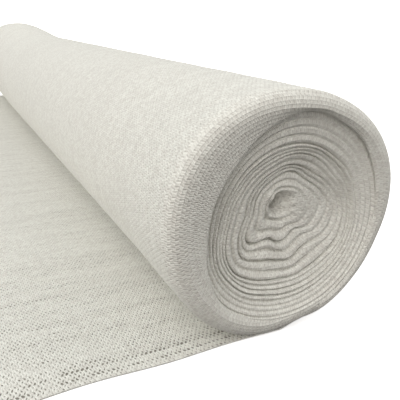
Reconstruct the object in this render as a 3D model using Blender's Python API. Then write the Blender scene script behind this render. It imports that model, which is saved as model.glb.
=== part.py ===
"""Roll of white knitted shade cloth lying on its side, with its loose end laid flat beside it.

Frame: metres, +Z up, origin on the floor under the middle of the roll's axis. The roll lies along Y, with the
open end that faces the viewer at -Y, and the loose end runs out from under the roll towards -X.
Angles around the roll are seen from the -Y end: 0 is +X, 90 is straight up.
"""

import bmesh
import bpy
import numpy as np

# Driving dimensions, in metres
CLOTH_WIDTH = 1.829          # a six foot width of cloth, selvedge to selvedge
CLOTH_THICK = 0.0015         # knitted cloth lying slack, over its loops
ROLL_RADIUS = 0.130          # mean radius of the wound roll
END_PROUD = 0.009            # how far the rolled ends stand out past the loose end's selvedges
LOOSE_REACH = 0.450          # cut end of the loose cloth, from the roll's axis
TUCK_REACH = 0.030           # how far the flat cloth runs on under the roll
FLAT_SPOT_DEPTH = 0.0025     # how far the roll has settled on itself
REST_GAP = 0.0003            # clearance between the roll and the cloth it lies on
EDGE_WANDER = 0.0025         # how far the selvedges stray from a straight line
CUT_WANDER = 0.004           # how uneven the cut end is
LIP_ROUND = 0.0155           # rounding of the rolled end's outer edge
GROOVE_DEPTH = 0.0045        # dark creases between bundles of turns
GROOVE_HALF_WIDTH = 0.0024
BUNDLE_CROWN = 0.0020        # how far each bundle of turns stands proud between its creases

SEGMENTS = 72                # points around each ring of the roll
MM = 0.001

ROLL_LENGTH = CLOTH_WIDTH + 2 * END_PROUD
NEAR_Y = -ROLL_LENGTH / 2
FAR_Y = ROLL_LENGTH / 2
REST_Z = CLOTH_THICK + REST_GAP
AXIS_Z = REST_Z + ROLL_RADIUS - FLAT_SPOT_DEPTH

# Cross-sections of the roll: radius / ROLL_RADIUS = mean + cos1 cos(a) + sin1 sin(a) + cos2 cos(2a) + ...
# "at" is the distance from the near end in metres.
SECTIONS = (
    dict(at=0.000, mean=1.007, cos1=-0.027, sin1=0.000, cos2=0.024, sin2=0.005, cos3=0.014, sin3=0.019),
    dict(at=0.160, mean=0.990, cos1=-0.005, sin1=-0.021, cos2=0.012, sin2=0.000, cos3=0.000, sin3=0.000),
    dict(at=1.170, mean=0.990, cos1=-0.005, sin1=-0.018, cos2=0.014, sin2=0.000, cos3=0.000, sin3=0.000),
    dict(at=1.680, mean=1.025, cos1=0.000, sin1=0.060, cos2=-0.050, sin2=0.000, cos3=0.000, sin3=-0.015),
    dict(at=1.847, mean=1.010, cos1=0.000, sin1=0.050, cos2=-0.045, sin2=0.000, cos3=0.000, sin3=-0.015),
)
WAVES = (("cos1", np.cos, 1), ("sin1", np.sin, 1), ("cos2", np.cos, 2),
         ("sin2", np.sin, 2), ("cos3", np.cos, 3), ("sin3", np.sin, 3))

# Creases in the near end, from the core outwards: depth of the dished face there, and the crease's
# distance from the axis in millimetres every 22.5 degrees, starting at +X and going over the top.
NEAR_CREASES = (
    dict(name="core", depth=24.0, radii=(55, 47, 41, 42, 40, 37, 34, 34, 34, 44, 44, 31, 33, 30, 30, 48)),
    dict(name="second", depth=22.0, radii=(64, 57, 50, 49, 47, 44, 42, 41, 42, 52, 61, 54, 53, 54, 57, 66)),
    dict(name="third", depth=18.5, radii=(73, 68, 65, 63, 60, 56, 53, 52, 54, 66, 77, 73, 72, 74, 80, 80)),
    dict(name="fourth", depth=15.0, radii=(86, 83, 77, 74, 71, 67, 65, 63, 65, 79, 90, 88, 87, 88, 91, 90)),
    dict(name="lip", depth=7.0, radii=(108, 108, 106, 104, 105, 96, 90, 90, 92, 99, 110, 112, 112, 112, 111, 109)),
)
# The hidden far end is plainer: creases at a share of the outer radius.
FAR_CREASES = (
    dict(name="core", depth=14.0, share=0.30),
    dict(name="middle", depth=12.0, share=0.56),
    dict(name="lip", depth=6.0, share=0.80),
)
# The small hollow left where winding began: radius and depth from the near end, in millimetres.
HOLLOW = (dict(radius=4.0, depth=58.0), dict(radius=6.5, depth=40.0), dict(radius=9.0, depth=27.0),
          dict(radius=14.0, depth=20.5))
HOLLOW_SHIFT = (0.002, 0.004)          # the hollow sits a little off the axis, right and up

# Where rings are set along the body, in metres from the near end
BODY_STATIONS = (0.045, 0.100, 0.160, 0.300, 0.500, 0.750, 1.000, 1.170, 1.300, 1.420, 1.540, 1.640, 1.720, 1.790)

ANGLES = np.linspace(0.0, 2.0 * np.pi, SEGMENTS, endpoint=False)
CLOTH_COLOUR = (0.80, 0.80, 0.76, 1.0)


def clear_scene():
    """Remove whatever the file opened with."""
    for obj in list(bpy.data.objects):
        bpy.data.objects.remove(obj, do_unlink=True)


def cloth_material():
    """White knitted polyethylene: pale, matt, not metallic."""
    material = bpy.data.materials.new("knitted_polyethylene")
    material.use_nodes = True
    shader = material.node_tree.nodes["Principled BSDF"]
    shader.inputs["Base Color"].default_value = CLOTH_COLOUR
    shader.inputs["Roughness"].default_value = 0.8
    shader.inputs["Metallic"].default_value = 0.0
    return material


def smooth(t):
    """Smooth step from 0 to 1."""
    t = np.clip(t, 0.0, 1.0)
    return t * t * (3.0 - 2.0 * t)


def outer_radius(at):
    """Radius of the roll at every angle, at a distance from the near end: two table rows, blended."""
    upper = next((i for i, row in enumerate(SECTIONS) if row["at"] > at), len(SECTIONS) - 1)
    low, high = SECTIONS[upper - 1], SECTIONS[upper]
    share = smooth((at - low["at"]) / (high["at"] - low["at"]))
    radius = np.full(SEGMENTS, low["mean"] + share * (high["mean"] - low["mean"]))
    for name, wave, count in WAVES:
        radius += (low[name] + share * (high[name] - low[name])) * wave(count * ANGLES)
    return ROLL_RADIUS * radius


def around(values):
    """Values given at even steps around the roll, read at every ring angle by a closed cubic curve."""
    values = np.asarray(values, dtype=float)
    place = ANGLES / (2.0 * np.pi) * len(values)
    first = np.floor(place).astype(int)
    t = place - first
    before, here, after, beyond = (values[(first + k) % len(values)] for k in (-1, 0, 1, 2))
    return 0.5 * (2 * here + (after - before) * t + (2 * before - 5 * here + 4 * after - beyond) * t ** 2
                  + (3 * here - before - 3 * after + beyond) * t ** 3)


def ring(radius, y, shift=(0.0, 0.0)):
    """One closed ring of points: a radius at every angle, flattened where the roll rests."""
    x = shift[0] + radius * np.cos(ANGLES)
    z = np.maximum(AXIS_Z + shift[1] + radius * np.sin(ANGLES), REST_Z)
    return np.stack([x, np.broadcast_to(y, x.shape), z], axis=1)


def crease_rings(creases, inner_radius, crest_radius, inner_depth):
    """Rings over the dished face, inside to outside: the crown of each bundle, then the crease past it."""
    profile = []
    last_radius, last_depth = inner_radius, inner_depth
    for radius, depth in creases:
        profile.append((0.5 * (last_radius + radius), 0.5 * (last_depth + depth) - BUNDLE_CROWN))
        profile.append((radius - GROOVE_HALF_WIDTH, depth))
        profile.append((radius, depth + GROOVE_DEPTH))
        profile.append((radius + GROOVE_HALF_WIDTH, depth))
        last_radius, last_depth = radius, depth
    profile.append((0.5 * (last_radius + crest_radius), 0.15 * last_depth))
    return profile


def near_face():
    """The end seen in the photograph: hollow, bundles of turns with waved creases, and the lip."""
    at_crest = outer_radius(LIP_ROUND) - LIP_ROUND
    hollow = [(row["radius"] * MM, row["depth"] * MM) for row in HOLLOW]
    rings = [ring(radius, NEAR_Y + depth, HOLLOW_SHIFT) for radius, depth in hollow]
    creases = [(around(row["radii"]) * MM, row["depth"] * MM) for row in NEAR_CREASES]
    for radius, depth in crease_rings(creases, hollow[-1][0], at_crest, hollow[-1][1]):
        rings.append(ring(radius, NEAR_Y + depth))
    return rings


def far_face():
    """The hidden end, plainly finished: a shallow dish with even creases and a closed core."""
    outer = outer_radius(ROLL_LENGTH - LIP_ROUND)
    creases = [(row["share"] * outer, row["depth"] * MM) for row in FAR_CREASES]
    first = 0.12 * outer
    rings = [ring(first, FAR_Y - FAR_CREASES[0]["depth"] * MM)]
    for radius, depth in crease_rings(creases, first, outer - LIP_ROUND, FAR_CREASES[0]["depth"] * MM):
        rings.append(ring(radius, FAR_Y - depth))
    return rings[::-1]


def rounded_edge(end_y, direction, steps=5):
    """Quarter-round outer edge of a rolled end, from the face's crest to the roll's side."""
    rings = []
    for i in range(steps + 1):
        turn = 0.5 * np.pi * i / steps
        inward = LIP_ROUND * (1.0 - np.sin(turn))
        along = LIP_ROUND * (1.0 - np.cos(turn))
        y = end_y + direction * along
        rings.append(ring(outer_radius(abs(y - NEAR_Y)) - inward, y))
    return rings


def loft(name, rings, first_pole, last_pole, material):
    """A closed solid through rings of equal count, with a point at either end."""
    mesh = bmesh.new()
    loops = [[mesh.verts.new(point) for point in points] for points in rings]
    for lower, upper in zip(loops, loops[1:]):
        for i in range(SEGMENTS):
            j = (i + 1) % SEGMENTS
            mesh.faces.new((lower[i], lower[j], upper[j], upper[i]))
    for pole, loop in ((first_pole, loops[0]), (last_pole, loops[-1])):
        tip = mesh.verts.new(pole)
        for i in range(SEGMENTS):
            mesh.faces.new((tip, loop[i], loop[(i + 1) % SEGMENTS]))
    bmesh.ops.recalc_face_normals(mesh, faces=mesh.faces)
    bmesh.ops.triangulate(mesh, faces=mesh.faces)
    data = bpy.data.meshes.new(name)
    mesh.to_mesh(data)
    mesh.free()
    data.shade_smooth()
    data.materials.append(material)
    return bpy.data.objects.new(name, data)


def build_roll(material):
    """The wound roll as one solid: near face, side, far face."""
    side = [ring(outer_radius(at), NEAR_Y + at) for at in BODY_STATIONS]
    rings = near_face() + rounded_edge(NEAR_Y, 1.0) + side + rounded_edge(FAR_Y, -1.0)[::-1] + far_face()
    near_tip = (HOLLOW_SHIFT[0], NEAR_Y + (HOLLOW[0]["depth"] + 4.0) * MM, AXIS_Z + HOLLOW_SHIFT[1])
    far_tip = (0.0, FAR_Y - (FAR_CREASES[0]["depth"] + 6.0) * MM, AXIS_Z)
    return loft("cloth_roll", rings, near_tip, far_tip, material)


def wander(count, amount, seed):
    """A slow stray to either side along an edge, in a fixed random order of three waves."""
    rng = np.random.default_rng(seed)
    s = np.linspace(0.0, 1.0, count)
    phase = rng.uniform(0.0, 2.0 * np.pi, 3)
    waves = [np.sin(2.0 * np.pi * turns * s + shift) for turns, shift in zip((1.3, 2.7, 4.1), phase)]
    return amount * (0.5 * waves[0] + 0.3 * waves[1] + 0.2 * waves[2])


def loose_outline(count=14, cut_count=22):
    """Corners of the flat cloth seen from above: near selvedge, tucked edge, far selvedge, cut end."""
    half = CLOTH_WIDTH / 2
    x = np.linspace(-LOOSE_REACH, TUCK_REACH, count)
    near = np.stack([x, -half + wander(count, EDGE_WANDER, 3)], axis=1)
    far = np.stack([x, half + wander(count, EDGE_WANDER, 8)], axis=1)
    y = np.linspace(half, -half, cut_count)[1:-1]
    cut = np.stack([-LOOSE_REACH + wander(cut_count, CUT_WANDER, 5)[1:-1], y], axis=1)
    return np.vstack([near, far[::-1], cut])


def build_loose_end(material):
    """The loose end: a flat outline filled and given the cloth's thickness, lying on the floor."""
    outline = loose_outline()
    curve = bpy.data.curves.new("loose_end_outline", "CURVE")
    curve.dimensions = "2D"
    curve.fill_mode = "BOTH"
    curve.extrude = CLOTH_THICK / 2
    spline = curve.splines.new("POLY")
    spline.points.add(len(outline) - 1)
    for point, (x, y) in zip(spline.points, outline):
        point.co = (x, y, 0.0, 1.0)
    spline.use_cyclic_u = True
    flat = bpy.data.objects.new("loose_end_flat", curve)
    bpy.context.scene.collection.objects.link(flat)
    flat.location.z = CLOTH_THICK / 2
    bpy.context.view_layer.update()
    evaluated = flat.evaluated_get(bpy.context.evaluated_depsgraph_get())
    data = bpy.data.meshes.new_from_object(evaluated)
    data.name = "loose_end"
    mesh = bmesh.new()
    mesh.from_mesh(data)
    bmesh.ops.remove_doubles(mesh, verts=mesh.verts, dist=0.00001)
    mesh.to_mesh(data)
    mesh.free()
    data.materials.clear()
    data.materials.append(material)
    piece = bpy.data.objects.new("loose_end", data)
    piece.matrix_world = flat.matrix_world.copy()
    bpy.data.objects.remove(flat, do_unlink=True)
    bpy.data.curves.remove(curve)
    return piece


def main():
    clear_scene()
    collection = bpy.data.collections.new("shade_cloth_roll")
    bpy.context.scene.collection.children.link(collection)
    material = cloth_material()
    collection.objects.link(build_roll(material))
    collection.objects.link(build_loose_end(material))


main()
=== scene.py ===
# %% [markdown]
# # A roll of knitted shade cloth
# Shade cloth is a net knitted from flat polyethylene tape and thin monofilament. It is sold as one long
# length wound on itself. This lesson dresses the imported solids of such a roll: the loose end that lies on
# the floor, the outer turn that goes round the roll, and the edges of the inner turns that show at the ends.

# %% Load the frame
import math

import bmesh
import bpy
import numpy as np
from mathutils import Matrix, Vector


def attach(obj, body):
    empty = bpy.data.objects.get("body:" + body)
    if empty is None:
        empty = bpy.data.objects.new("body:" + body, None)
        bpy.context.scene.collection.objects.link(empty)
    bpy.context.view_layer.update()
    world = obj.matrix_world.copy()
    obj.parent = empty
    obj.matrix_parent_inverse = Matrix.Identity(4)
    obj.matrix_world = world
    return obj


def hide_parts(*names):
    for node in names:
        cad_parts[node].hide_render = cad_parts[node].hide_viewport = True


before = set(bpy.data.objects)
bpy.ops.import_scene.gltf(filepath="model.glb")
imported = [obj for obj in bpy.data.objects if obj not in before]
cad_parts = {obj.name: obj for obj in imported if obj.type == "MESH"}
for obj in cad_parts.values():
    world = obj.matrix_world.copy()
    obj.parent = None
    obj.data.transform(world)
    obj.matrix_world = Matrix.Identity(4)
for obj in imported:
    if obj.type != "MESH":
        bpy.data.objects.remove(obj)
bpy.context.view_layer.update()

# %% [markdown]
# ## The roll's sizes
# The roll lies along Y and its loose end runs towards -X. The solid already has the true section: slightly
# oval and uneven, and fuller towards the far end. The same named sizes are written again here, because the
# cloth has to follow that section exactly. Angles go round the roll as seen from its near end, from +X
# over the top. Lengths are in metres.

# %% Sizes shared with the solids
MM = 0.001
CLOTH_WIDTH = 1.829
CLOTH_THICK = 0.0014
ROLL_RADIUS = 0.130
END_PROUD = 0.009
LOOSE_REACH = 0.450
LIP_ROUND = 0.0155
REST_Z = 0.0018
FLOOR_GAP = 0.0001
AXIS_Z = REST_Z + ROLL_RADIUS - 0.0025
ROLL_LENGTH = CLOTH_WIDTH + 2 * END_PROUD
NEAR_Y = -ROLL_LENGTH / 2
FAR_Y = ROLL_LENGTH / 2
SELVEDGE_Y = -CLOTH_WIDTH / 2

# Sections of the roll: radius / ROLL_RADIUS as a mean and waves round the roll, by distance from the near end
SECTIONS = (
    dict(at=0.000, mean=1.007, cos1=-0.027, sin1=0.000, cos2=0.024, sin2=0.005, cos3=0.014, sin3=0.019),
    dict(at=0.160, mean=0.990, cos1=-0.005, sin1=-0.021, cos2=0.012, sin2=0.000, cos3=0.000, sin3=0.000),
    dict(at=1.170, mean=0.990, cos1=-0.005, sin1=-0.018, cos2=0.014, sin2=0.000, cos3=0.000, sin3=0.000),
    dict(at=1.680, mean=1.025, cos1=0.000, sin1=0.060, cos2=-0.050, sin2=0.000, cos3=0.000, sin3=-0.015),
    dict(at=1.847, mean=1.010, cos1=0.000, sin1=0.050, cos2=-0.045, sin2=0.000, cos3=0.000, sin3=-0.015),
)
WAVES = (("cos1", np.cos, 1), ("sin1", np.sin, 1), ("cos2", np.cos, 2),
         ("sin2", np.sin, 2), ("cos3", np.cos, 3), ("sin3", np.sin, 3))


def smooth(t):
    """A smooth step: 3t^2 - 2t^3, held at 0 and 1 outside."""
    t = np.clip(t, 0.0, 1.0)
    return t * t * (3.0 - 2.0 * t)


def outer_radius(angle, at):
    """The roll's radius: two rows of the table, each a mean plus waves of the angle, blended along Y."""
    angle, at = np.broadcast_arrays(np.asarray(angle, float), np.asarray(at, float))
    rows = []
    for row in SECTIONS:
        rows.append(row["mean"] + sum(row[name] * wave(count * angle) for name, wave, count in WAVES))
    radius = rows[0]
    for low, high, value in zip(SECTIONS, SECTIONS[1:], rows[1:]):
        share = smooth((at - low["at"]) / (high["at"] - low["at"]))
        radius = radius + share * (value - radius)
    return ROLL_RADIUS * radius


print("near end radius", np.round(outer_radius(np.radians([0, 90, 180, 270]), 0.0), 4))

# %% [markdown]
# ## Reading a chart round the roll
# The turns at the near end aren't round: they bunch at the lower left and wave along the bottom. Each main
# crease is charted by its distance from the axis at even angles, and a closed Catmull-Rom curve joins the
# values, so a crease is smooth and meets itself.

# %% Closed curves and slow random waves
def around(values, angle):
    """Values at even steps round a circle, read at any angle: the cubic through four neighbours."""
    values = np.asarray(values, float)
    place = (np.asarray(angle, float) / (2.0 * np.pi) % 1.0) * len(values)
    first = np.floor(place).astype(int)
    t = place - first
    before, here, after, beyond = (values[(first + k) % len(values)] for k in (-1, 0, 1, 2))
    return 0.5 * (2 * here + (after - before) * t + (2 * before - 5 * here + 4 * after - beyond) * t ** 2
                  + (3 * here - before - 3 * after + beyond) * t ** 3)


def wander(seed, s, turns):
    """A slow random wave of about unit height: sines of the given whole turns, each with its own phase."""
    rng = np.random.default_rng(seed)
    total = np.zeros(np.shape(s))
    for count in turns:
        total = total + rng.uniform(0.6, 1.4) * np.sin(2.0 * np.pi * (count * s + rng.uniform()))
    return total / math.sqrt(len(turns))


# %% [markdown]
# ## From arrays to a mesh
# Every surface below is a grid of points worked out as whole arrays. One function turns such a grid into a
# mesh, joins grid lines that meet, and stores the cloth's own lengths in a UV map: across and along the
# knitting, in metres. The knitted pattern then follows the cloth wherever it goes.

# %% Grid to mesh
def grid_piece(name, points, along, across, facing):
    """A mesh from an (n, m, 3) grid. Face (i, j) joins four neighbours, and its corners carry the UV pair.
    The whole mesh is turned over if its faces mostly point against 'facing'."""
    n, m = points.shape[:2]
    index = np.arange(n * m).reshape(n, m)
    quads = np.stack([index[:-1, :-1], index[1:, :-1], index[1:, 1:], index[:-1, 1:]], axis=-1).reshape(-1, 4)
    flat = points.reshape(-1, 3)
    corner = flat[quads]
    normal = np.cross(corner[:, 2] - corner[:, 0], corner[:, 3] - corner[:, 1])
    if callable(facing):
        agree = (normal * facing(corner.mean(axis=1))).sum()
    else:
        agree = (normal @ np.asarray(facing, float)).sum()
    if agree < 0:
        quads = quads[:, ::-1]
    mesh = bpy.data.meshes.new(name)
    mesh.vertices.add(len(flat))
    mesh.vertices.foreach_set("co", flat.ravel())
    mesh.loops.add(quads.size)
    mesh.loops.foreach_set("vertex_index", quads.ravel())
    mesh.polygons.add(len(quads))
    mesh.polygons.foreach_set("loop_start", np.arange(0, quads.size, 4))
    uv = mesh.uv_layers.new(name="cloth_lengths")
    pair = np.stack([along.ravel(), across.ravel()], axis=1)[quads.ravel()]
    uv.data.foreach_set("uv", pair.ravel())
    mesh.update(calc_edges=True)
    welded = bmesh.new()
    welded.from_mesh(mesh)
    bmesh.ops.remove_doubles(welded, verts=welded.verts, dist=0.000002)
    welded.to_mesh(mesh)
    welded.free()
    mesh.shade_smooth()
    piece = bpy.data.objects.new(name, mesh)
    bpy.context.scene.collection.objects.link(piece)
    print(name, "faces", len(mesh.polygons), "points", len(mesh.vertices))
    return piece


def run_length(points, axis):
    """Distance travelled along one direction of a grid, starting at 0."""
    step = np.linalg.norm(np.diff(points, axis=axis), axis=-1)
    start = np.zeros_like(np.take(step, [0], axis=axis))
    return np.concatenate([start, np.cumsum(step, axis=axis)], axis=axis)


# %% [markdown]
# ## The camera
# The camera stands low and close to the near end, a little to its left, and looks along the roll. Its place
# was worked out from the outline of the roll, so it is given as a distance from the near end.

# %% Camera
CAMERA_AT = Vector((-0.2913, NEAR_Y - 0.3706, 0.3142))
CAMERA_YAW = math.radians(26.85)
CAMERA_PITCH = math.radians(19.77)
CAMERA_ROLL = math.radians(1.03)
SENSOR_MM = 36.0
LENS_MM = 46.09

ahead = Vector((math.sin(CAMERA_YAW) * math.cos(CAMERA_PITCH),
                math.cos(CAMERA_YAW) * math.cos(CAMERA_PITCH), -math.sin(CAMERA_PITCH)))
level = Vector((math.cos(CAMERA_YAW), -math.sin(CAMERA_YAW), 0.0))
upright = level.cross(ahead)
right = math.cos(CAMERA_ROLL) * level + math.sin(CAMERA_ROLL) * upright
up = math.cos(CAMERA_ROLL) * upright - math.sin(CAMERA_ROLL) * level

camera_data = bpy.data.cameras.new("camera")
camera_data.sensor_width = SENSOR_MM
camera_data.lens = LENS_MM
camera_data.clip_start = 0.01
camera = bpy.data.objects.new("camera", camera_data)
camera.matrix_world = Matrix.Translation(CAMERA_AT) @ Matrix((right, up, -ahead)).transposed().to_4x4()
bpy.context.scene.collection.objects.link(camera)
bpy.context.scene.camera = camera

# %% [markdown]
# ## The near end's creases
# The end of a hand-wound roll is a shallow dish. Bundles of turns slide past each other, so there are a few
# deep creases with finer ones between them. The chart gives each main crease from the hollow outwards.
# "turn" counts turns from the hollow. "deep" is how far the dish has sunk there on the right, at the top, on
# the left and at the bottom. Both are in millimetres.

# %% Chart of the near end
CHART_STEP = 15      # degrees between the values in a row, starting at +X and going over the top
CREASES = (
    dict(turn=0, deep=(32, 32, 33, 33), radii=(4, 5, 8, 13, 16, 17, 15, 13, 12, 11, 8, 5,
                                               4, 3, 3, 2, 2, 2, 2, 2, 2, 3, 3, 4)),
    dict(turn=1, deep=(26, 27, 29, 31), radii=(27, 27, 28, 28, 27, 26, 25, 23, 21, 19, 17, 16,
                                               15, 14, 14, 13, 12, 12, 12, 13, 14, 17, 22, 25)),
    dict(turn=3, deep=(28, 30, 30, 27), radii=(60, 53, 46, 42, 42, 41, 37, 34, 32, 31, 30, 29,
                                               29, 34, 44, 46, 35, 31, 35, 35, 32, 34, 48, 55)),
    dict(turn=5, deep=(24, 26, 26, 22), radii=(71, 63, 56, 51, 50, 49, 47, 44, 43, 42, 42, 41,
                                               42, 48, 56, 61, 57, 53, 54, 57, 54, 58, 69, 74)),
    dict(turn=7, deep=(19, 21, 22, 17), radii=(80, 73, 66, 65, 64, 62, 59, 56, 55, 55, 55, 57,
                                               59, 66, 73, 77, 76, 74, 73, 75, 77, 81, 85, 84)),
    dict(turn=10, deep=(13, 16, 18, 11.5), radii=(87, 84, 81, 77, 75, 73, 71, 70, 69, 69, 69, 71,
                                                  74, 80, 86, 88, 89, 87, 87, 88, 89, 91, 91, 90)),
)
LIP_EDGE = (108, 107, 107, 107, 105, 106, 104, 99, 94, 90, 89, 90,
            92, 96, 102, 108, 110, 111, 111, 111, 112, 111, 110, 109)
LIP_TURN = 15
# Round the lip, every 45 degrees from +X: how far its inner edge sinks below its crest, how far the turns
# drop behind it, in millimetres, and how much the turns lie flush with it instead
LIP_SINK = (2.5, 3.0, 4.0, 5.0, 5.5, 4.5, 2.0, 2.0)
RECESS = (2.0, 4.5, 7.0, 10.5, 10.5, 5.0, 0.5, 0.5)
FLUSH = (0.45, 0.0, 0.0, 0.0, 0.0, 0.55, 1.0, 1.0)
# How strongly the crease inside each turn shows, from the hollow outwards, and round the roll every 45
# degrees. The depths are in millimetres
STRENGTH = (0.5, 0.8, 0.5, 1.2, 0.5, 1.1, 0.5, 1.1, 0.45, 0.6, 1.3, 0.5, 0.35, 0.3, 0.4, 0.3, 0.3)
SIDE_STRENGTH = (0.30, 0.60, 0.75, 0.95, 1.0, 1.1, 1.1, 0.7)
CREASE_DEEP = 5.0
CREASE_HALF_WIDE = 0.13                                          # as a share of a turn
CROWN = 2.2
# Crumples in the first turns: where they are from the axis, how far they stand out and how wide they are
CRUMPLES = (
    dict(x=10, z=2, out=3.0, wide=4.0),
    dict(x=17, z=5, out=2.2, wide=3.0),
    dict(x=18, z=-3, out=1.8, wide=3.5),
    dict(x=26, z=-4, out=-3.0, wide=1.5),
    dict(x=1, z=13, out=-5.0, wide=2.2),
    dict(x=-6, z=9, out=-4.0, wide=2.6),
    dict(x=-1, z=2, out=-5.0, wide=3.2),
    dict(x=-11, z=-7, out=-3.0, wide=4.0),
    dict(x=-10, z=15, out=3.0, wide=4.5),
    dict(x=5, z=21, out=3.0, wide=4.5),
    dict(x=14, z=19, out=2.5, wide=4.5),
)
HOLLOW_X = -4.0
HOLLOW_Z = 5.0


def lip_sink(angle):
    return around(LIP_SINK, angle) * MM


def recess(angle):
    return np.maximum(around(RECESS, angle), 0.3) * MM


def flush(angle):
    return np.clip(around(FLUSH, angle), 0.0, 1.0)


def lip_edge(angle):
    return around(LIP_EDGE, angle) * MM


def rounding(angle):
    """Radius of the lip's outer rounding: the solid's own, but tighter where the lip is narrow."""
    return np.minimum(LIP_ROUND, outer_radius(angle, LIP_ROUND) - lip_edge(angle) - 4.0 * MM)


# %% [markdown]
# ## The turns as one wound strip
# Each turn of cloth ends in its selvedge, and at the ends of the roll only a narrow strip along that
# selvedge shows. The strips of all turns are one strip, wound in. So the surface is a grid: one direction
# runs round the roll, the other crosses the turns from the hollow out to the lip, and after one round a
# row joins the next row in. The change from a turn to the next is made on the right, where the real turns
# lie smooth. Rows are packed closer beside a crease, so the crease is sharp.

# %% Wound strip
STRIP_THICK = 0.0006     # thin, because the turns lie close


def step_in(share):
    """How far a row has wound inwards after a share of a round that starts on the left: 0, then 1."""
    return smooth((share - 0.27) / 0.46)


def read_rows(turns, values, layer):
    """Reads chart rows between turns: straight lines from each charted turn to the next."""
    turns = np.asarray(turns, float)
    low = np.clip(np.searchsorted(turns, layer, side="right") - 1, 0, len(turns) - 2)
    t = np.clip((layer - turns[low]) / (turns[low + 1] - turns[low]), 0.0, 1.0)
    column = np.broadcast_to(np.arange(layer.shape[0])[:, None], layer.shape)
    return values[low, column] * (1.0 - t) + values[low + 1, column] * t


def wound_strip(name, end_y, direction, rounds, per_turn, charts, tuck, seed, core_deep, crumples=()):
    """The ends of all turns. Radius and depth are read from charts at layer = turn - step_in(share), then a
    crown lifts the middle of each turn and a narrow bell sinks each crease."""
    share = np.linspace(0.0, 1.0, rounds + 1)
    angle = np.pi + 2.0 * np.pi * share
    turns = np.array([row["turn"] for row in charts + tuck], float)
    radii = np.array([row["radii"](angle) for row in charts + tuck])
    depths = np.array([row["deep"](angle) for row in charts + tuck])

    # Every turn has its own first and last row, so the stitches may jump from one turn to the next
    place = 0.5 - 0.5 * np.cos(np.pi * np.arange(per_turn + 1) / per_turn)
    number = np.repeat(np.arange(LIP_TURN + 1), per_turn + 1)
    place = np.tile(place, LIP_TURN + 1)
    layer = np.clip((number + place)[None, :] - step_in(share)[:, None], 0.0, LIP_TURN)
    radius = read_rows(turns, radii, layer)
    depth = read_rows(turns, depths, layer)

    # A turn's waves run on into the next turn in, because both ends of the share add up to whole turns
    travelled = share[:, None] - number[None, :]
    lower = wander(seed, travelled * 0.37, (2, 5, 9))
    upper = wander(seed, (travelled - 1.0) * 0.37, (2, 5, 9))
    sway = lower * (1.0 - place) + upper * place
    to_crease = np.minimum(place, 1.0 - place)[None, :]
    crease_at = travelled - np.where(place > 0.5, 1.0, 0.0)
    uneven = np.clip(1.0 + 0.4 * wander(seed + 1, crease_at * 0.29, (7, 11, 17)), 0.2, 2.0)
    strength = np.interp(layer, np.arange(len(STRENGTH)), STRENGTH) * around(SIDE_STRENGTH, angle)[:, None]
    bell = np.exp(-(to_crease / CREASE_HALF_WIDE) ** 2)
    crown = 1.0 - (1.0 - 2.0 * to_crease) ** 2
    room = smooth((LIP_TURN - layer) / 1.2) * smooth(layer / 0.8)
    depth = depth + room * MM * strength * (CREASE_DEEP * uneven * bell - CROWN * crown)
    radius = radius + 0.5 * MM * sway * room

    depth = depth + 9.0 * MM * (1.0 - smooth(layer / 0.6))
    x = radius * np.cos(angle)[:, None]
    z = AXIS_Z + radius * np.sin(angle)[:, None]
    for lump in crumples:
        away = np.hypot(x - lump["x"] * MM, z - AXIS_Z - lump["z"] * MM) / (lump["wide"] * MM)
        depth = depth - lump["out"] * MM * np.exp(-away ** 2)
    y = np.full_like(x, end_y) + direction * depth
    points = np.stack([x, y, np.maximum(z, REST_Z + CLOTH_THICK)], axis=-1)

    # The cloth's lengths: a strip as wide as its run from crease to crease, as long as all rounds together
    run = run_length(points, 1)
    starts = np.repeat(run[:, ::per_turn + 1], per_turn + 1, axis=1)
    across = run - starts
    turn_radius = np.hypot(points[..., 0], points[..., 2] - AXIS_Z).mean(axis=0)
    turn_radius = turn_radius.reshape(LIP_TURN + 1, -1).mean(axis=1)
    unwound = 2.0 * np.pi * (np.cumsum(turn_radius[::-1])[::-1] - turn_radius)
    along = unwound[number][None, :] + 2.0 * np.pi * turn_radius[number][None, :] * share[:, None]
    length = float(2.0 * np.pi * turn_radius[1:].sum())

    # The hollow where winding began: rings that shrink as they go in, down to a point
    rings = []
    keeps = np.array([0.0, 0.25, 0.5, 0.75])
    middle_x = HOLLOW_X * MM if crumples else 0.0
    middle_z = AXIS_Z + (HOLLOW_Z * MM if crumples else 0.0)
    for keep in keeps:
        ring = points[:, 0].copy()
        ring[:, 0] = middle_x + math.sqrt(keep) * (ring[:, 0] - middle_x)
        ring[:, 2] = middle_z + math.sqrt(keep) * (ring[:, 2] - middle_z)
        ring[:, 1] += direction * (1.0 - keep) * core_deep * MM
        rings.append(ring)
    points = np.concatenate([np.stack(rings, axis=1), points], axis=1)
    along = np.concatenate([np.repeat(along[:, :1], len(keeps), axis=1), along], axis=1)
    deeper = (1.0 - keeps) * -core_deep * MM
    across = np.concatenate([np.broadcast_to(deeper, (len(points), len(keeps))), across], axis=1)
    piece = grid_piece(name, points, along, across, (0.0, -direction, 0.0))
    thickness = piece.modifiers.new("cloth thickness", "SOLIDIFY")
    thickness.thickness = STRIP_THICK
    thickness.offset = -1.0
    print(name, "shows a strip", round(length, 2), "m long")
    return piece, length


def charted(values):
    """Even values round the roll, in millimetres, as a smooth function of the angle in metres."""
    return lambda angle: around(values, angle) * MM


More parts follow.
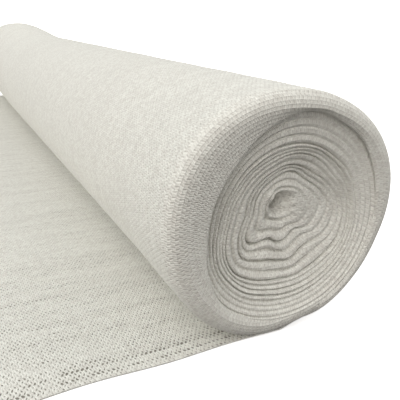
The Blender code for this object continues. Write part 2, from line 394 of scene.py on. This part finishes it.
near_charts = [dict(turn=row["turn"], radii=charted(row["radii"]), deep=charted(row["deep"]))
               for row in CREASES]
near_tuck = [
    dict(turn=14.5, radii=lambda a: lip_edge(a) + (3.5 - 4.3 * flush(a)) * MM,
         deep=lambda a: lip_sink(a) + 0.1 * MM + (1.0 - flush(a)) * (CLOTH_THICK + recess(a))),
    dict(turn=LIP_TURN, radii=lambda a: lip_edge(a) + (6.0 - 4.5 * flush(a)) * MM,
         deep=lambda a: lip_sink(a) + 4.5 * MM * flush(a) + (1.0 - flush(a)) * (CLOTH_THICK + recess(a))),
]
near_turns, near_length = wound_strip("near_end_turns", NEAR_Y, 1.0, 250, 10, near_charts, near_tuck, 4, 26.0,
                                      CRUMPLES)

# %% [markdown]
# ## The outer turn and the loose end
# The outermost turn and the loose end are one cloth. It lies flat on the floor, goes under the roll, climbs
# its right side and comes down on the left. Across its width it wraps over each end of the roll, and its
# selvedge curls into the dish, which makes the smooth fat lip. So the grid has one direction along the
# cloth and one across it. Where the cloth is flat, the columns that make the lip close up to a narrow strip
# by the selvedge.

# %% Profile across the cloth
def curve_through(knots, samples):
    """A smooth curve through knots, shape (k, n, 2): the cubic through four neighbours, ends repeated."""
    padded = np.concatenate([knots[:1], knots, knots[-1:]])
    place = np.linspace(0.0, len(knots) - 1.0, samples)
    first = np.minimum(place.astype(int), len(knots) - 2)
    t = (place - first)[:, None, None]
    before, here, after, beyond = (padded[first + k] for k in range(4))
    return 0.5 * (2 * here + (after - before) * t + (2 * before - 5 * here + 4 * after - beyond) * t ** 2
                  + (3 * here - before - 3 * after + beyond) * t ** 3)


def lip_profile(edge, sink, drop, flat, rounded, radius_at, samples):
    """Radius and depth across one lip, from the tucked selvedge, over the crest and round the outer rounding
    to the roll's side. Where 'flat' is 0 the selvedge curls into the dish, and where it is 1 it lies flush
    and only dives into a crease."""
    crest = radius_at(rounded) - rounded
    wide = crest - edge
    tucked = np.minimum(drop, 5.0 * MM)
    curled = (
        (edge + 3.5 * MM, sink + 0.5 * MM + tucked),
        (edge + 0.6 * MM, sink + 0.5 * MM + 0.7 * tucked),
        (edge, sink + 0.4 * MM),
        (edge + np.minimum(2.0 * MM, 0.3 * wide), sink - 1.2 * MM),
        (edge + 0.35 * wide + np.minimum(1.0 * MM, 0.1 * wide), 0.42 * sink),
        (edge + 0.70 * wide, 0.10 * sink),
    )
    diving = (
        (edge - 2.2 * MM, sink + 5.0 * MM),
        (edge - 1.2 * MM, sink + 3.0 * MM),
        (edge - 0.3 * MM, sink + 1.2 * MM),
        (edge + 0.5 * MM, 0.75 * sink),
        (edge + 0.40 * wide, 0.30 * sink),
        (edge + 0.72 * wide, 0.06 * sink),
    )
    knots = [(curl[0] + flat * (dive[0] - curl[0]), curl[1] + flat * (dive[1] - curl[1]))
             for curl, dive in zip(curled, diving)]
    for share in (0.0, 0.25, 0.5, 0.75, 1.0):
        turn = 0.5 * np.pi * share
        along = rounded * (1.0 - math.cos(turn))
        knots.append((radius_at(along) - rounded * (1.0 - math.sin(turn)), along))
    return curve_through(np.array([np.stack(knot, axis=-1) for knot in knots]), samples)


NEAR_SAMPLES = 56
FAR_SAMPLES = 22
FAR_EDGE = 0.80          # the far lip's inner edge, as a share of the roll's radius
SIDE_YS = np.concatenate([LIP_ROUND + np.arange(1, 31) * 0.0035,
                          np.linspace(0.135, ROLL_LENGTH - 0.08, 112),
                          ROLL_LENGTH - np.linspace(0.065, LIP_ROUND + 0.008, 6)])

# %% [markdown]
# The path along the cloth is a flat run, a short climb, and one full turn. The last few degrees slip under
# the cloth's own first part, as they do in a spiral.

# %% Path along the cloth
FLAT_ROWS = np.concatenate([np.linspace(-LOOSE_REACH, -0.06, 34), np.linspace(-0.052, 0.0, 8)])
CLIMB_START = math.radians(-89.0)
CLIMB_END = math.radians(-62.0)
TURN_ANGLES = np.concatenate([np.linspace(-80.0, -56.0, 9), np.linspace(-53.0, 258.0, 122),
                              np.linspace(260.0, 306.0, 21)])
TURN_ANGLES = np.radians(TURN_ANGLES)
TAIL_DROP = 0.0022
TAIL_DEEPER = 0.0016

def wound_rows(angle):
    """Points on the outer turn: radius from the roll's section, or from the lip's profile at each end."""
    def near_radius(along):
        return outer_radius(angle, along)

    def far_radius(along):
        return outer_radius(angle, ROLL_LENGTH - along)

    even = np.ones_like(angle)
    near = lip_profile(lip_edge(angle), lip_sink(angle), recess(angle), flush(angle), rounding(angle),
                       near_radius, NEAR_SAMPLES)
    far = lip_profile(FAR_EDGE * far_radius(LIP_ROUND), 4.0 * MM * even, 3.0 * MM * even, 0.0 * even,
                      LIP_ROUND * even, far_radius, FAR_SAMPLES)[::-1]
    side = outer_radius(angle[None, :], SIDE_YS[:, None])
    radius = np.concatenate([near[..., 0], side, far[..., 0]])
    at = np.concatenate([near[..., 1], np.broadcast_to(SIDE_YS[:, None], side.shape),
                         ROLL_LENGTH - far[..., 1]])
    return radius.T, at.T


radius, at = wound_rows(TURN_ANGLES)
tail = smooth((TURN_ANGLES - math.radians(250.0)) / math.radians(32.0))[:, None]
radius = radius - TAIL_DROP * tail
at = at + TAIL_DEEPER * tail * np.where(np.arange(at.shape[1]) < at.shape[1] // 2, 1.0, -1.0)
x = radius * np.cos(TURN_ANGLES)[:, None]
z = np.maximum(AXIS_Z + radius * np.sin(TURN_ANGLES)[:, None], REST_Z + FLOOR_GAP + TAIL_DEEPER * tail)
wound = np.stack([x, NEAR_Y + at, z], axis=-1)
side_from = run_length(wound, 1)
side_from = side_from - side_from[:, NEAR_SAMPLES:NEAR_SAMPLES + 1]

# %% [markdown]
# The outer turn isn't stretched tight. Soft troughs and two sharper folds run round it beside the near end,
# and the whole turn is faintly uneven. They are pressed in along the surface's own normal.

# %% Folds of the outer turn
FOLDS = (
    dict(at=0.0215, half=0.0045, deep=0.0011, centre=142, spread=55),
    dict(at=0.0410, half=0.0060, deep=0.0006, centre=120, spread=45),
    dict(at=0.0025, half=0.0030, deep=0.0007, centre=165, spread=60),
    dict(at=-0.0105, half=0.0011, deep=0.0008, centre=134, spread=24),
    dict(at=-0.0125, half=0.0012, deep=0.0013, centre=85, spread=24),
)
TURN_UNEVEN = 0.0002


def side_relief(angle, away):
    """Depth pressed into the turn at a distance from where its side starts: a bell across each fold, faded
    out along it, and slow waves round and along the roll."""
    degrees = np.degrees(angle)
    relief = np.zeros(np.broadcast(angle, away).shape)
    for fold in FOLDS:
        middle = fold["at"] + 0.0025 * np.sin(2.3 * angle + 300.0 * fold["at"])
        fade = np.exp(-((degrees - fold["centre"]) / fold["spread"]) ** 2)
        relief = relief + fold["deep"] * fade * np.exp(-((away - middle) / fold["half"]) ** 2)
    share = away / CLOTH_WIDTH
    uneven = wander(31, share, (3, 7, 13)) * np.cos(2.0 * angle + 1.0)
    uneven = uneven + wander(32, share, (5, 9, 19)) * np.cos(3.0 * angle + 2.0 + 4.0 * share)
    return relief + TURN_UNEVEN * uneven


def away_from_axis(centre):
    """Direction away from the roll's axis, or down on the floor."""
    return centre * np.array([1.0, 0.0, 1.0]) - np.array([0.0, 0.0, AXIS_Z])


def outward(points):
    """Unit normals of a grid of points on the roll, turned away from its axis."""
    normal = np.cross(np.gradient(points, axis=0), np.gradient(points, axis=1))
    normal = normal / np.maximum(np.linalg.norm(normal, axis=-1, keepdims=True), 1e-12)
    middle = points.shape[1] // 2
    sign = np.sign((normal[:, middle] * away_from_axis(points[:, middle])).sum(axis=-1))
    return normal * sign[:, None, None]


pressed = side_relief(TURN_ANGLES[:, None], side_from) * (1.0 - tail)
wound = wound - outward(wound) * pressed[..., None]
wound[..., 2] = np.maximum(wound[..., 2], REST_Z + FLOOR_GAP)

# %% [markdown]
# On the floor the cloth isn't dead flat: knitted cloth that has been wound keeps faint ripples along its
# length. They are under a millimetre and a half high, and die out under the roll.

# %% Flat rows and the whole cloth
columns = wound.shape[1]
NEAR_STRIP = 0.014       # width of the flat cloth that goes on to make the lip
flat_y = np.zeros(columns)
flat_y[:NEAR_SAMPLES] = SELVEDGE_Y + NEAR_STRIP * np.linspace(0.0, 1.0, NEAR_SAMPLES)
flat_y[-FAR_SAMPLES:] = -SELVEDGE_Y - NEAR_STRIP * np.linspace(1.0, 0.0, FAR_SAMPLES)
side_share = (SIDE_YS - SIDE_YS[0] + 0.0035) / (SIDE_YS[-1] - SIDE_YS[0] + 0.0115)
flat_y[NEAR_SAMPLES:-FAR_SAMPLES] = SELVEDGE_Y + NEAR_STRIP + side_share * (CLOTH_WIDTH - 2 * NEAR_STRIP)


RIPPLE_HIGH = 0.0005


def floor_ripple(px, py):
    """Height of the ripples: slow waves across the cloth that drift along it, faded under the roll."""
    s = (py - SELVEDGE_Y) / CLOTH_WIDTH
    wave = wander(21, s + 0.02 * np.sin(9.0 * px), (3, 7, 11, 17)) + 0.5 * wander(22, s + 0.05 * px, (23, 31))
    fade = smooth((-0.05 - px) / 0.10)
    return RIPPLE_HIGH * fade * (1.3 + wave)


flat_x = np.broadcast_to(FLAT_ROWS[:, None], (len(FLAT_ROWS), columns)).copy()
cut_stray = 0.003 * wander(5, (flat_y - SELVEDGE_Y) / CLOTH_WIDTH, (2, 5, 9, 14))
flat_x += cut_stray[None, :] * smooth((-LOOSE_REACH + 0.05 - FLAT_ROWS) / 0.05)[:, None]
edge_stray = 0.0018 * wander(6, (FLAT_ROWS + LOOSE_REACH) / 0.6, (1, 2, 4))
near_pull = smooth((SELVEDGE_Y + 0.12 - flat_y) / 0.12)
full_y = flat_y[None, :] + edge_stray[:, None] * near_pull[None, :]
flat_z = FLOOR_GAP + np.maximum(floor_ripple(flat_x, full_y), 0.0)
flat = np.stack([flat_x, full_y, flat_z], axis=-1)

climb = smooth((TURN_ANGLES - CLIMB_START) / (CLIMB_END - CLIMB_START))[:, None, None]
ground = wound.copy()
ground[..., 1] = flat_y[None, :]
ground[..., 2] = FLOOR_GAP
wound = ground + climb * (wound - ground)
cloth_points = np.concatenate([flat, wound])

along = run_length(cloth_points[:, [columns // 2]], 0)
along = np.broadcast_to(along, cloth_points.shape[:2])
across_flat = flat_y - SELVEDGE_Y
across_wound = side_from + LIP_ROUND - END_PROUD
across_climb = across_flat[None, :] + climb[..., 0] * (across_wound - across_flat[None, :])
across = np.concatenate([np.broadcast_to(across_flat, (len(flat), columns)), across_climb])


cloth = grid_piece("shade_cloth", cloth_points, along, across, away_from_axis)
thickness = cloth.modifiers.new("cloth thickness", "SOLIDIFY")
thickness.thickness = CLOTH_THICK
thickness.offset = -1.0

# %% [markdown]
# ## The far end
# The far end can't be seen from the front. It is wound the same way, so it is made by the same function,
# with an evener chart: each crease is a share of the roll's own section there.

# %% Far end
FAR_CREASES = (
    dict(turn=0, share=0.07, deep=16.0),
    dict(turn=1, share=0.16, deep=13.0),
    dict(turn=3, share=0.30, deep=14.0),
    dict(turn=5, share=0.42, deep=13.0),
    dict(turn=7, share=0.53, deep=12.0),
    dict(turn=10, share=0.66, deep=11.0),
)


def far_ring(share, seed):
    """A ring that is a share of the far section, with a slow wave of its own."""
    def radius_of(angle):
        wave = wander(seed, angle / (2.0 * np.pi), (1, 2, 3, 5))
        return share * outer_radius(angle, ROLL_LENGTH) * (1.0 + 0.03 * wave)
    return radius_of


def level_at(depth):
    return lambda angle: np.full_like(angle, depth * MM)


far_charts = [dict(turn=row["turn"], radii=far_ring(row["share"], 30 + row["turn"]),
                   deep=level_at(row["deep"])) for row in FAR_CREASES]
far_tuck = [dict(turn=LIP_TURN, deep=level_at(8.5),
                 radii=lambda a: FAR_EDGE * outer_radius(a, ROLL_LENGTH - LIP_ROUND) + 5.0 * MM)]
far_turns, far_length = wound_strip("far_end_turns", FAR_Y, -1.0, 150, 8, far_charts, far_tuck, 14, 12.0)

# %% [markdown]
# ## Knitted polyethylene
# The cloth is high-density polyethylene, drawn to thin white filament and knitted on a warp-knitting
# machine: chains of loops run along the cloth, and laid-in yarn crosses from chain to chain, leaving a
# small hole between. It is matt with a faint waxy sheen, and pale, because light goes into the filament and
# scatters. The pattern is computed from the UV lengths: chains every 3.7 mm across the cloth and loops
# every 4.8 mm along it, each chain half a loop out of step with the next.

# %% Material helpers
def to_linear(hex_colour):
    """An sRGB hex colour as linear red, green, blue and 1."""
    parts = [int(hex_colour[i:i + 2], 16) / 255.0 for i in (1, 3, 5)]
    return tuple(p / 12.92 if p <= 0.04045 else ((p + 0.055) / 1.055) ** 2.4 for p in parts) + (1.0,)


class Nodes:
    """Builds a node tree one node at a time."""

    def __init__(self, tree):
        self.tree = tree

    def add(self, kind, links=None, settings=None):
        """Adds a node. 'links' maps an input to another node's output or to a plain value."""
        node = self.tree.nodes.new(kind)
        for key, value in (settings or {}).items():
            setattr(node, key, value)
        for key, value in (links or {}).items():
            if isinstance(value, bpy.types.NodeSocket):
                self.tree.links.new(value, node.inputs[key])
            else:
                node.inputs[key].default_value = value
        return node


STITCH_MM = 4.8          # length of one loop along the cloth
CHAIN_MM = 3.7           # distance between chains across the cloth
# CLOTH_LIT is the cloth's own colour. CLOTH_SHADE is its darker tone, used for darker knitting at random and
# as painted shade between strands
CLOTH_LIT = "#EDEEE8"
CLOTH_SHADE = "#CBC8C2"
# HOLE_SHADE is painted shadow: the shade seen through a hole, on the floor or on the cloth beneath
HOLE_SHADE = "#6B665C"
SELVEDGE_ROWS = (0.0093, 0.0204)     # distance of the two loosest rows from the selvedge, in metres
FLOOR_LEVEL = 0.0026     # cloth lower than this lies on the floor, and its holes show shadow


def knitted_polyethylene(name, hole_shadow_strength, relief, streak, gap_shade):
    """Loops, holes and uneven chains of knitted cloth, from the piece's own UV lengths, with painted shadow
    in the holes and painted shade between the strands.
    """
    material = bpy.data.materials.new(name)
    material.use_nodes = True
    tree = material.node_tree
    tree.nodes.clear()
    make = Nodes(tree).add

    def calc(operation, first, second=0.0, third=0.0, clamp=False):
        """One sum on sockets or numbers."""
        node = make("ShaderNodeMath", {0: first, 1: second, 2: third},
                    {"operation": operation, "use_clamp": clamp})
        return node.outputs[0]

    def ramp(value, start, end, low=0.0, high=1.0):
        """A smooth change from one value to another."""
        return make("ShaderNodeMapRange", {0: value, 1: start, 2: end, 3: low, 4: high},
                    {"interpolation_type": "SMOOTHSTEP"}).outputs[0]

    def random_by(first, second):
        """A random number from 0 to 1 for each whole pair of numbers."""
        pair = make("ShaderNodeCombineXYZ", {0: calc("FLOOR", first), 1: calc("FLOOR", second)})
        return make("ShaderNodeTexWhiteNoise", {"Vector": pair.outputs[0]},
                    {"noise_dimensions": "2D"}).outputs[0]

    def noise(across, along, detail):
        """Flat noise that varies at its own rate along and across the cloth, in patches per metre."""
        place = make("ShaderNodeCombineXYZ", {0: calc("MULTIPLY", length_along, along),
                                              1: calc("MULTIPLY", length_across, across)})
        return make("ShaderNodeTexNoise", {"Vector": place.outputs[0], "Scale": 1.0, "Detail": detail},
                    {"noise_dimensions": "2D"}).outputs[0]

    lengths = make("ShaderNodeUVMap", settings={"uv_map": "cloth_lengths"}).outputs[0]
    split = make("ShaderNodeSeparateXYZ", {0: lengths})
    length_along, length_across = split.outputs[0], split.outputs[1]
    stitch = calc("MULTIPLY", length_along, 1000.0 / STITCH_MM)
    chain = calc("MULTIPLY", length_across, 1000.0 / CHAIN_MM)
    in_chain = calc("ABSOLUTE", calc("SUBTRACT", calc("FRACT", chain), 0.5))

    # The laid-in yarn zigzags over one chain and back over the next, and neighbouring chains are half a loop
    # out of step
    zigzag = calc("PINGPONG", chain, 1.0)
    odd_chain = calc("PINGPONG", calc("FLOOR", chain), 1.0)
    shifted = calc("ADD", stitch, calc("MULTIPLY_ADD", zigzag, 0.25, calc("MULTIPLY", odd_chain, 0.5)))
    from_yarn = calc("ABSOLUTE", calc("SUBTRACT", calc("FRACT", shifted), 0.5))
    yarn = ramp(from_yarn, 0.36, 0.05)
    rope = ramp(in_chain, 0.22, 0.46)
    from_strand = calc("ABSOLUTE", calc("SUBTRACT", calc("FRACT", calc("MULTIPLY", shifted, 2.0)), 0.5))
    strand = ramp(from_strand, 0.45, 0.05)

    # Uneven knitting: wide loose bands, single loose chains and odd slack loops. It is firmer away from the
    # selvedge, and two rows beside the selvedge are the loosest
    bands = noise(70.0, 5.0, 3.0)
    chains = noise(270.0, 14.0, 1.0)
    slack = random_by(shifted, chain)
    firm = ramp(length_across, 0.03, 0.40)
    from_rows = [calc("ABSOLUTE", calc("SUBTRACT", length_across, row)) for row in SELVEDGE_ROWS]
    loose_row = ramp(calc("MINIMUM", from_rows[0], from_rows[1]), 0.0035, 0.0010)
    opening = calc("MULTIPLY_ADD", bands, 1.2, -0.6)
    opening = calc("ADD", opening, calc("MULTIPLY_ADD", chains, 1.0, -0.5))
    opening = calc("ADD", opening, calc("MULTIPLY_ADD", slack, 1.1, -0.15))
    opening = calc("ADD", opening, calc("MULTIPLY_ADD", firm, -0.35, calc("MULTIPLY", loose_row, 0.7)))

    # A hole lies between two yarns and two chains
    tall = calc("MULTIPLY", calc("SUBTRACT", 0.5, from_yarn), STITCH_MM * 1.1)
    wide = calc("MULTIPLY", in_chain, CHAIN_MM * 0.85)
    from_hole = calc("SQRT", calc("ADD", calc("MULTIPLY", tall, tall), calc("MULTIPLY", wide, wide)))
    hole = ramp(calc("SUBTRACT", from_hole, opening), 0.5, -0.3)

    # A hole is painted with the shadow that lies on the floor under flat cloth, and with only faint painted
    # shade where more cloth lies under it
    object_z = make("ShaderNodeSeparateXYZ", {0: make("ShaderNodeTexCoord").outputs["Object"]}).outputs[2]
    over_floor = ramp(object_z, FLOOR_LEVEL, FLOOR_LEVEL + 0.004, 1.0, 0.09)
    # Painted shadow in the holes
    hole_shadow = calc("MULTIPLY", calc("MULTIPLY", hole, over_floor), hole_shadow_strength, clamp=True)

    # Relief: yarn, chains and the two strands of each loop stand out, and slack loops stand out more
    height = calc("ADD", calc("MULTIPLY", yarn, 0.35), calc("MULTIPLY", rope, 0.3))
    height = calc("ADD", height, calc("MULTIPLY", strand, 0.35))
    height = calc("ADD", height, calc("MULTIPLY", slack, 0.2))
    bump = make("ShaderNodeBump", {"Height": height, "Strength": 1.0, "Distance": relief * MM}).outputs[0]

    # Tone: loose bands and odd strands are a little darker at random, and the gaps between strands are
    # painted darker as shade
    tone = calc("MULTIPLY", ramp(bands, 0.3, 0.7), streak)
    grain = random_by(calc("MULTIPLY", shifted, 2.0), chain)
    tone = calc("ADD", tone, calc("MULTIPLY_ADD", grain, 0.5, -0.15))
    # Painted shade off the middle of each strand, towards the gap
    tone = calc("ADD", tone, calc("MULTIPLY_ADD", strand, -0.3, 0.3))
    covered = calc("MAXIMUM", calc("MAXIMUM", yarn, calc("MULTIPLY", strand, 0.7)), rope)
    # Painted shade in the gaps that no yarn, strand or chain covers
    shade_between_strands = calc("MULTIPLY", calc("SUBTRACT", 1.0, covered), gap_shade)
    tone = calc("ADD", tone, shade_between_strands, clamp=True)
    tint = make("ShaderNodeMix", {0: tone, 6: to_linear(CLOTH_LIT), 7: to_linear(CLOTH_SHADE)},
                {"data_type": "RGBA"}).outputs[2]
    colour = make("ShaderNodeMix", {0: hole_shadow, 6: tint, 7: to_linear(HOLE_SHADE)},
                  {"data_type": "RGBA"}).outputs[2]
    shader = make("ShaderNodeBsdfPrincipled", {"Base Color": colour, "Roughness": 0.62, "Normal": bump,
                                               "IOR": 1.54, "Specular IOR Level": 0.2,
                                               "Sheen Weight": 0.05, "Sheen Roughness": 0.5})
    make("ShaderNodeOutputMaterial", {"Surface": shader.outputs[0]})
    return material


# The strengths set the painted shadow in the holes and the painted shade between the strands
flat_knit = knitted_polyethylene("knitted_polyethylene", hole_shadow_strength=0.85, relief=0.9, streak=0.12, gap_shade=0.25)
edge_knit = knitted_polyethylene("knitted_polyethylene_edges", hole_shadow_strength=0.5, relief=0.8, streak=0.10,
                                 gap_shade=0.2)
cloth.data.materials.append(flat_knit)
for piece in (near_turns, far_turns):
    piece.data.materials.append(edge_knit)

# %% [markdown]
# ## Floor and light
# The roll is shown on a plain white floor that curves up far away, all round, so that no edge shows. The
# floor glows a little and is left out of the light that falls on the roll. The light is that of a white room
# with soft lights low on both sides, slightly warm, and weaker ones above and behind. Light from the sides
# grazes the dish, so its upper half and the lip on the left stay in soft shade.

# %% Floor
BOWL_FLAT = 12.0
BOWL_REACH = 40.0
BOWL_HIGH = 30.0
FLOOR_BELOW = 0.0004
out_from = np.array([0.0, 1.0, 3.0, 6.0, 12.0, 16.0, 20.0, 24.0, 28.0, 32.0, 36.0, 40.0])
out_from, turned = np.meshgrid(out_from, np.linspace(0.0, 2.0 * np.pi, 73), indexing="ij")
rise = BOWL_HIGH * smooth((out_from - BOWL_FLAT) / (BOWL_REACH - BOWL_FLAT)) - FLOOR_BELOW
bowl = np.stack([out_from * np.cos(turned), out_from * np.sin(turned), rise], axis=-1)
floor = grid_piece("studio_floor", bowl, out_from, turned, (0.0, 0.0, 1.0))
floor_paint = bpy.data.materials.new("white_floor")
floor_paint.use_nodes = True
floor_shader = floor_paint.node_tree.nodes["Principled BSDF"]
floor_shader.inputs["Base Color"].default_value = to_linear("#FFFFFF")
floor_shader.inputs["Roughness"].default_value = 0.9
floor_shader.inputs["Specular IOR Level"].default_value = 0.0
floor_shader.inputs["Emission Color"].default_value = to_linear("#FFFFFF")
paint = Nodes(floor_paint.node_tree).add
floor_height = paint("ShaderNodeSeparateXYZ", {0: paint("ShaderNodeTexCoord").outputs["Object"]}).outputs[2]
glow = paint("ShaderNodeMapRange", {0: floor_height, 1: 0.0, 2: 1.0, 3: 0.55, 4: 1.0}).outputs[0]
floor_paint.node_tree.links.new(glow, floor_shader.inputs["Emission Strength"])
floor.data.materials.append(floor_paint)
floor.visible_diffuse = False
floor.visible_glossy = False
floor.visible_shadow = False

# %% Light
world = bpy.data.worlds.new("studio")
world.use_nodes = True
bpy.context.scene.world = world
world_tree = world.node_tree
world_tree.nodes.clear()
make = Nodes(world_tree).add
WARM = Vector((1.09, 1.0, 0.93))
PALE = Vector((1.02, 1.0, 0.97))
COOL = Vector((0.97, 1.0, 0.99))
SOFT_LIGHTS = (
    dict(towards=(-0.8, -0.6, 0.35), bright=1.12, tint=WARM),
    dict(towards=(1.0, 0.1, 0.3), bright=1.28, tint=PALE),
    dict(towards=(-1.0, 0.1, 0.3), bright=0.40, tint=COOL),
    dict(towards=(0.0, 0.0, 1.0), bright=0.34, tint=COOL),
    dict(towards=(0.0, -0.6, 0.8), bright=0.20, tint=COOL),
    dict(towards=(-0.7, 0.7, 0.5), bright=0.58, tint=COOL),
)
BELOW = PALE * 0.12
direction = make("ShaderNodeTexCoord").outputs["Generated"]
height_in_sky = make("ShaderNodeSeparateXYZ", {0: direction}).outputs[2]


def world_ramp(value, start, end, low, high):
    """A smooth change of brightness across the sky."""
    return make("ShaderNodeMapRange", {0: value, 1: start, 2: end, 3: low, 4: high},
                {"interpolation_type": "SMOOTHSTEP"}).outputs[0]


lit_sky = (0.0, 0.0, 0.0)
for light in SOFT_LIGHTS:
    towards = Vector(light["towards"]).normalized()
    facing = make("ShaderNodeVectorMath", {0: direction, 1: towards}, {"operation": "DOT_PRODUCT"}).outputs[1]
    glow = world_ramp(facing, 0.25, 1.0, 0.0, light["bright"])
    lit_sky = make("ShaderNodeVectorMath", {0: light["tint"], 1: glow, 2: lit_sky},
                   {"operation": "MULTIPLY_ADD"}).outputs[0]
above_floor = world_ramp(height_in_sky, -0.10, 0.02, 0.0, 1.0)
sky = make("ShaderNodeMix", {0: above_floor, 4: BELOW, 5: lit_sky}, {"data_type": "VECTOR"}).outputs[1]
background = make("ShaderNodeBackground", {0: sky, 1: 1.0})
make("ShaderNodeOutputWorld", {"Surface": background.outputs[0]})
bpy.context.scene.view_settings.view_transform = "Standard"

# %% [markdown]
# ## Joining the pieces to the frame
# Every piece rides on the one body and stands for the solid it covers. At the ends, what shows of the
# inner turns is a narrow strip along the selvedge.

# %% Ride and replace
for piece, covered in ((cloth, ("loose_end", "cloth_roll")), (near_turns, ("cloth_roll",)),
                       (far_turns, ("cloth_roll",))):
    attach(piece, "root")
    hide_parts(*covered)
for piece, length in ((near_turns, near_length), (far_turns, far_length)):
    areas = np.zeros(len(piece.data.polygons))
    piece.data.polygons.foreach_get("area", areas)
